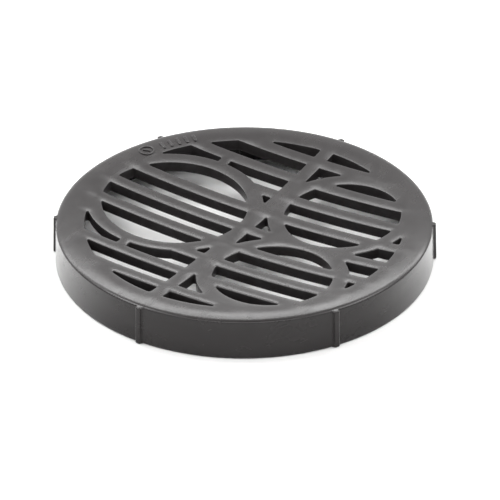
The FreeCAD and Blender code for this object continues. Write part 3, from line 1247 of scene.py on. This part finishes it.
def add_dash(verts, faces, cx, cy, angle, length, width, h):
    """A bar with round ends and a rounded top."""
    ca, sa = math.cos(angle), math.sin(angle)
    n = 12
    outline = []
    for end, quarter in ((1, -math.pi / 2), (-1, math.pi / 2)):
        for i in range(n + 1):
            t = math.pi * i / n + quarter
            outline.append((end * length / 2, math.cos(t), math.sin(t)))
    first, k = len(verts), len(outline)
    # share of the width, height
    levels = [(1.0, MARK_SINK), (1.0, h * 0.4), (0.86, h * 0.78), (0.62, h * 0.95), (0.3, h)]
    for share, dz in levels:
        for end_x, nx, ny in outline:
            lx, ly = end_x + nx * width / 2 * share, ny * width / 2 * share
            verts.append(seated(cx + lx * ca - ly * sa, cy + lx * sa + ly * ca, dz))
    for i in range(len(levels) - 1):
        for j in range(k):
            l = (j + 1) % k
            faces.append([first + v
                          for v in (i * k + j, i * k + l, (i + 1) * k + l, (i + 1) * k + j)])
    faces.append([first + (len(levels) - 1) * k + j for j in range(k)])
    faces.append([first + j for j in range(k)][::-1])


def build_mark():
    verts, faces = [], []
    a = math.radians(DIAL_ANGLE)
    x, y = MARK_R * math.cos(a), MARK_R * math.sin(a)
    add_ring(verts, faces, x, y, mid=DIAL_MID, half=DIAL_HALF, h=MARK_H)
    add_dash(verts, faces, x, y, a + math.radians(HAND_TURN), length=2.6, width=0.8, h=MARK_H)
    for i in range(DASH_COUNT):
        a = math.radians(DASH_FIRST - DASH_STEP * i)
        add_dash(verts, faces, MARK_R * math.cos(a), MARK_R * math.sin(a), a,
                 length=3.6, width=1.35, h=MARK_H)
    mark = write_mesh("mould_mark", verts, faces, np.full(len(verts), 0.25))
    face_outwards(mark)
    finish_piece(mark, "mould_mark")


build_mark()


# ---------------------------------------------------------------- stage, in metres
def build_floor():
    material = bpy.data.materials.new("stage_floor")
    material.use_nodes = True
    bsdf = material.node_tree.nodes["Principled BSDF"]
    bsdf.inputs["Base Color"].default_value = (0.86, 0.86, 0.855, 1)
    bsdf.inputs["Roughness"].default_value = 0.9
    bsdf.inputs["Specular IOR Level"].default_value = 0.1
    bpy.ops.mesh.primitive_plane_add(size=6.0, location=(0, 0, -0.0002))
    floor = bpy.context.object
    floor.name = "stage_floor"
    floor.data.materials.append(material)
    floor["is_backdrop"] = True


TURN = Matrix.Rotation(YAW, 3, "Z")


def build_camera():
    elevation, roll = 0.5570, -0.0042       # radians
    distance, aside, upwards = 1.3296375, 0.00246, -0.0124875
    back = Vector((0, -math.cos(elevation), math.sin(elevation)))
    level = Vector((1, 0, 0))
    upright = back.cross(level)
    right = math.cos(roll) * level + math.sin(roll) * upright
    up = -math.sin(roll) * level + math.cos(roll) * upright
    eye = back * distance + right * aside + up * upwards
    data = bpy.data.cameras.new("camera")
    camera = bpy.data.objects.new("camera", data)
    bpy.context.scene.collection.objects.link(camera)
    data.sensor_width = 36.0
    data.lens = 237.96504
    data.shift_x = -0.001
    data.shift_y = -0.0006
    data.clip_start, data.clip_end = 0.05, 50
    axes = Matrix((TURN @ right, TURN @ up, TURN @ back)).transposed()
    place = TURN @ eye + Vector((0, 0, PLANE / 1000.0))
    camera.matrix_world = Matrix.Translation(place) @ axes.to_4x4()
    bpy.context.scene.camera = camera


def build_world():
    """Softboxes behind and above and at each side, and a dim room in front."""
    world = bpy.data.worlds.new("studio")
    bpy.context.scene.world = world
    world.use_nodes = True
    g = Graph(world.node_tree)

    # angles below are degrees
    def bell(angle, middle, width, power=2.0):
        """exp(-|(angle - middle) / width| ** power)"""
        offset = g.math("DIVIDE", g.subtract(angle, math.radians(middle)), math.radians(width))
        distance = g.math("ABSOLUTE", offset)
        return g.math("EXPONENT", g.multiply(g.math("POWER", distance, power), -1.0))

    def ramp(angle, start, end):
        return g.remap(angle, from_range=(math.radians(start), math.radians(end)),
                       interpolation_type="SMOOTHSTEP")

    coords = g.node("ShaderNodeTexCoord")
    rotate = g.node("ShaderNodeVectorRotate", rotation_type="Z_AXIS")
    rotate.inputs["Angle"].default_value = -YAW
    g.link(coords.outputs["Generated"], rotate.inputs["Vector"])
    direction = g.node("ShaderNodeSeparateXYZ")
    g.link(rotate.outputs[0], direction.inputs[0])
    sine = g.math("MINIMUM", g.math("MAXIMUM", direction.outputs["Z"], -1.0), 1.0)
    elev = g.math("ARCSINE", sine)
    # 0 is behind the object as the camera sees it, positive to the right
    azim = g.math("ARCTAN2", direction.outputs["X"], direction.outputs["Y"])
    aside = g.math("ABSOLUTE", azim)

    # strengths
    room, behind_box, side_box, key_left, key_right = 0.45, 0.50, 1.9, 9.5, 7.5
    top_front, behind_left, floor_glow = 3.4, 0.35, 1.2
    low_gain, low_fade = 1.8, 0.8       # the box behind is stronger low down

    behind = g.subtract(1.0, ramp(aside, start=60, end=120))
    low = g.subtract(low_gain, g.multiply(ramp(elev, start=14, end=33), low_fade))
    high = g.subtract(1.0, ramp(elev, start=52, end=68))
    light = g.add(room, g.multiply(behind, g.multiply(low, high), behind_box))
    light = g.add(light, g.multiply(bell(elev, middle=48, width=18),
                                    bell(aside, middle=100, width=30), side_box))
    for middle, strength in ((-60, key_left), (62, key_right)):
        light = g.add(light, g.multiply(bell(elev, middle=58, width=9, power=4.0),
                                        bell(azim, middle=middle, width=20, power=4.0),
                                        strength))
    light = g.add(light, g.multiply(bell(elev, middle=62, width=14),
                                    ramp(aside, start=105, end=150), top_front))
    light = g.add(light, g.multiply(bell(azim, middle=-32, width=22),
                                    g.subtract(1.0, ramp(elev, start=36, end=50)),
                                    behind_left))
    ground = g.subtract(1.0, ramp(elev, start=-6, end=0))
    light = g.math("MAXIMUM", light, g.multiply(ground, floor_glow))
    output = g.node("ShaderNodeOutputWorld")
    background = g.node("ShaderNodeBackground")
    background.inputs["Color"].default_value = (1, 1, 1, 1)
    g.link(light, background.inputs["Strength"])
    g.link(background.outputs[0], output.inputs["Surface"])


def build_strip_light():
    """A long low lamp behind the grate."""
    power_density = 8.5 * math.pi       # watts per square metre
    strip = bpy.data.lights.new("strip_light", "AREA")
    strip.shape = "RECTANGLE"
    strip.size, strip.size_y = 0.6, 0.04
    strip.energy = power_density * strip.size * strip.size_y
    lamp = bpy.data.objects.new("strip_light", strip)
    place = Vector((0, 0.165, 0.185))
    target = Vector((0, -0.02, 0.017))
    lamp.location = TURN @ place
    lamp.rotation_mode = "QUATERNION"
    lamp.rotation_quaternion = (TURN @ (place - target)).to_track_quat("Z", "Y")
    bpy.context.scene.collection.objects.link(lamp)


build_floor()
build_camera()
build_world()
build_strip_light()
view = bpy.context.scene.view_settings
view.view_transform = "Standard"
view.look = "None"
view.exposure = 0.0
view.gamma = 1.0

lo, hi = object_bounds()
